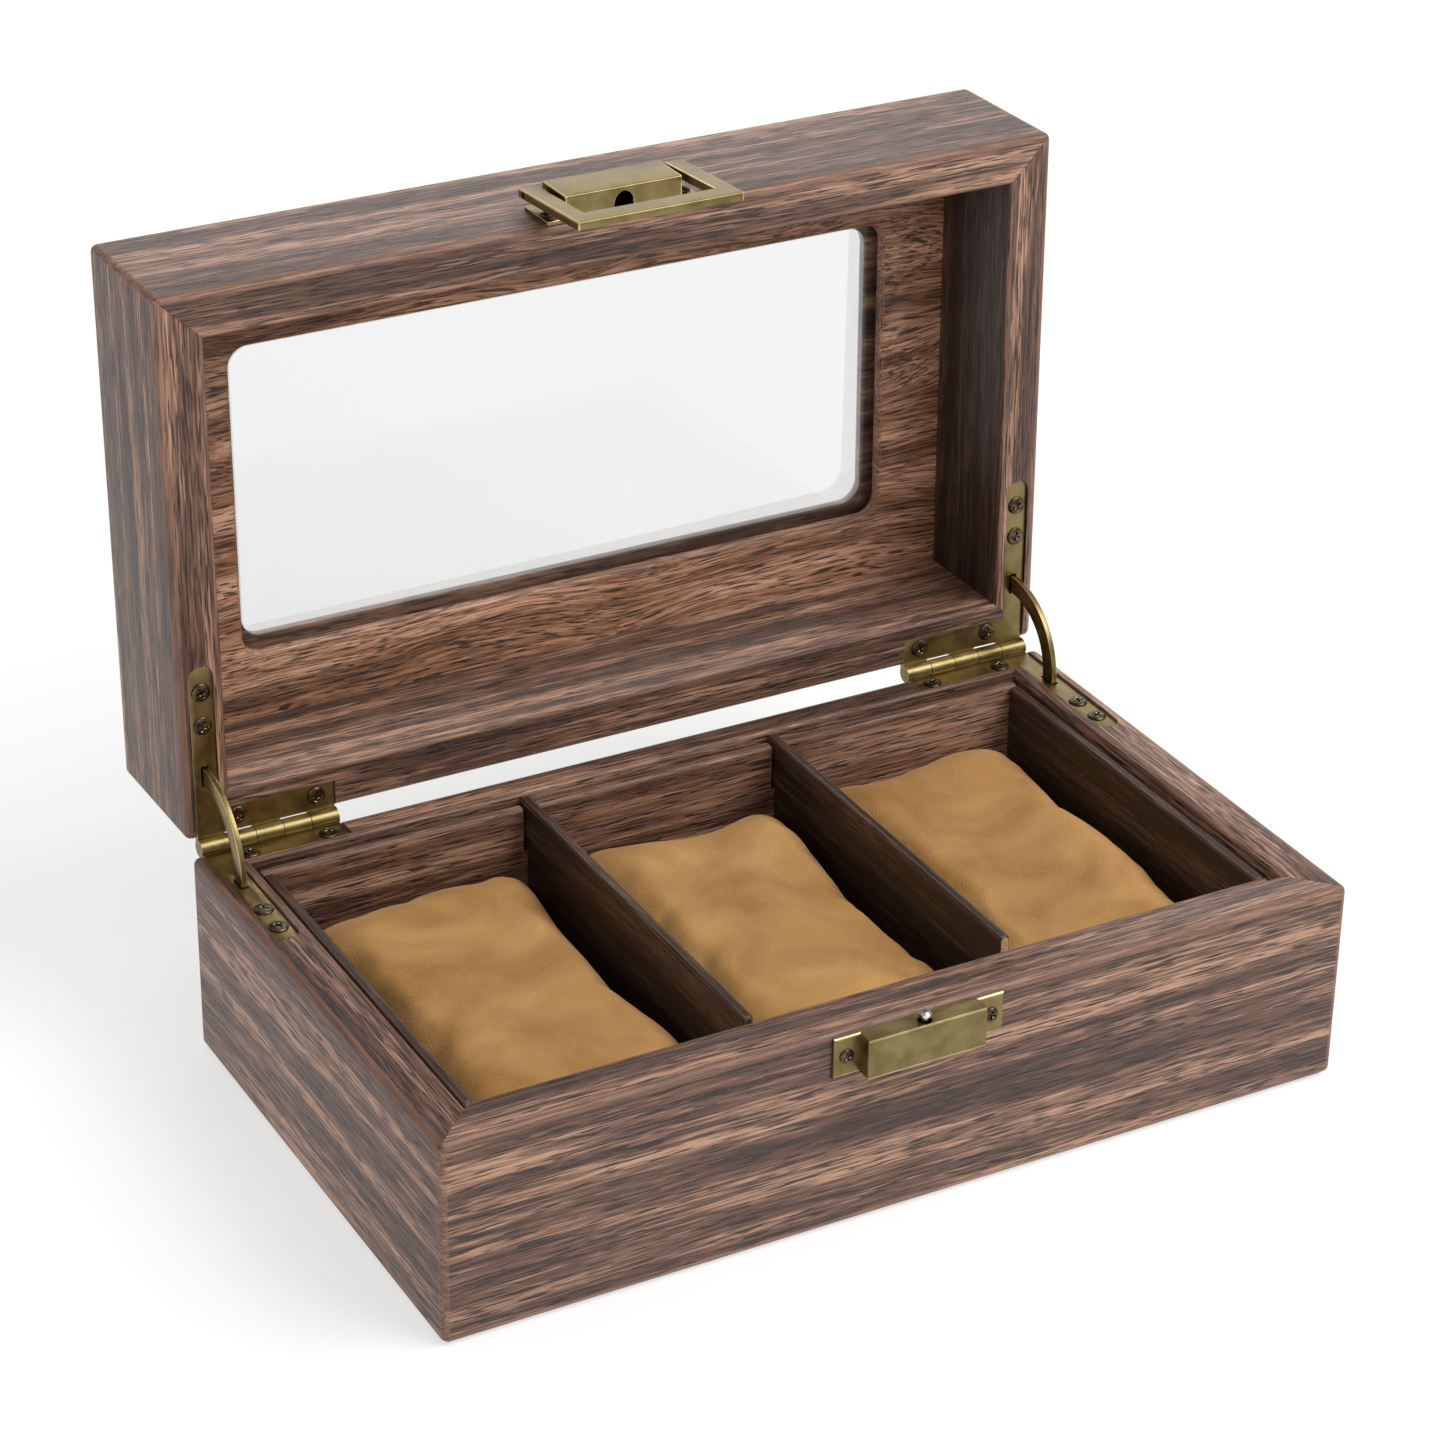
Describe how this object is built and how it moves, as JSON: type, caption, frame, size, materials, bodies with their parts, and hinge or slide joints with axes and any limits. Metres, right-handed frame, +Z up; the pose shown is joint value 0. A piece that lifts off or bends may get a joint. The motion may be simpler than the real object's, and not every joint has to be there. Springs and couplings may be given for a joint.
{
  "type": "watch box",
  "caption": "Hinged watch box with a glass-topped lid, brass stop hinges and latch, and removable cushions between dividers.",
  "frame": {"origin": "centre of the underside of the felt, on the surface the box stands on", "axes": "+X along the front to the right, +Y from the front to the back, +Z up; the lid is modelled open"},
  "size_m": [0.206, 0.1636, 0.1749],
  "materials": {
    "walnut_wrap": "embossed walnut-grain leatherette wrap over board",
    "panel_wrap": "embossed walnut-grain wrap, warmer inner panel",
    "liner_wrap": "dark walnut-grain wrap",
    "felt": "black felt",
    "antique_brass": "antiqued brass, rubbed bright on the edges",
    "steel_screws": "darkened steel",
    "bright_steel": "polished",
    "window_glass": "clear",
    "suede": "tan faux suede",
    "foam": "soft foam"
  },
  "bodies": {
    "base": {"base_front_board": "walnut_wrap", "base_back_board": "walnut_wrap", "base_left_board": "walnut_wrap", "base_right_board": "walnut_wrap", "base_bottom_panel": "liner_wrap", "base_felt": "felt", "tray_floor": "liner_wrap", "liner_front": "liner_wrap", "liner_back": "liner_wrap", "liner_left": "liner_wrap", "liner_right": "liner_wrap", "divider_left": "liner_wrap", "divider_right": "liner_wrap", "catch_body": "antique_brass", "catch_stud": "bright_steel", "catch_screws": "steel_screws", "hinge_left_base_leaf": "antique_brass", "hinge_right_base_leaf": "antique_brass", "hinge_left_pin": "antique_brass", "hinge_right_pin": "antique_brass", "hinge_left_base_screws": "steel_screws", "hinge_right_base_screws": "steel_screws"},
    "lid": {"lid_front_rail": "walnut_wrap", "lid_back_rail": "walnut_wrap", "lid_left_rail": "walnut_wrap", "lid_right_rail": "walnut_wrap", "lid_top_panel": "walnut_wrap", "lid_glass": "window_glass", "lid_inner_panel": "panel_wrap", "hinge_left_lid_leaf": "antique_brass", "hinge_right_lid_leaf": "antique_brass", "hinge_left_lid_screws": "steel_screws", "hinge_right_lid_screws": "steel_screws", "latch_plate": "antique_brass", "latch_block": "antique_brass", "latch_pin": "antique_brass", "latch_screws": "steel_screws"},
    "latch_bail": {"latch_bail": "antique_brass"},
    "stay_left": {"stay_left": "antique_brass"},
    "stay_right": {"stay_right": "antique_brass"},
    "cushion_left": {"cushion_left_cover": "suede", "cushion_left_foam": "foam"},
    "cushion_middle": {"cushion_middle_cover": "suede", "cushion_middle_foam": "foam"},
    "cushion_right": {"cushion_right_cover": "suede", "cushion_right_foam": "foam"}
  },
  "joints": [
    {"name": "lid_hinge", "type": "hinge", "parent": "base", "child": "lid", "pos_m": [0, 0.062, 0.04615], "axis": [-1, 0, 0], "range_deg": [-91, 0]},
    {"name": "stay_left_swing", "type": "hinge", "parent": "base", "child": "stay_left", "pos_m": [0, 0.062, 0.04615], "axis": [-1, 0, 0], "range_deg": [-46, 0.5]},
    {"name": "stay_right_swing", "type": "hinge", "parent": "base", "child": "stay_right", "pos_m": [0, 0.062, 0.04615], "axis": [-1, 0, 0], "range_deg": [-46, 0.5]},
    {"name": "latch_swing", "type": "hinge", "parent": "lid", "child": "latch_bail", "pos_m": [0, 0.07335, 0.17197], "axis": [-1, 0, 0], "range_deg": [-4.5, 90]},
    {"name": "cushion_left_lift", "type": "slide", "parent": "base", "child": "cushion_left", "axis": [0, 0, 1], "range_m": [0, 0.06]},
    {"name": "cushion_middle_lift", "type": "slide", "parent": "base", "child": "cushion_middle", "axis": [0, 0, 1], "range_m": [0, 0.06]},
    {"name": "cushion_right_lift", "type": "slide", "parent": "base", "child": "cushion_right", "axis": [0, 0, 1], "range_m": [0, 0.06]}
  ],
  "couplings": [
    {"joint": "stay_left_swing", "follows": "lid_hinge", "ratio": 0.5},
    {"joint": "stay_right_swing", "follows": "lid_hinge", "ratio": 0.5}
  ]
}
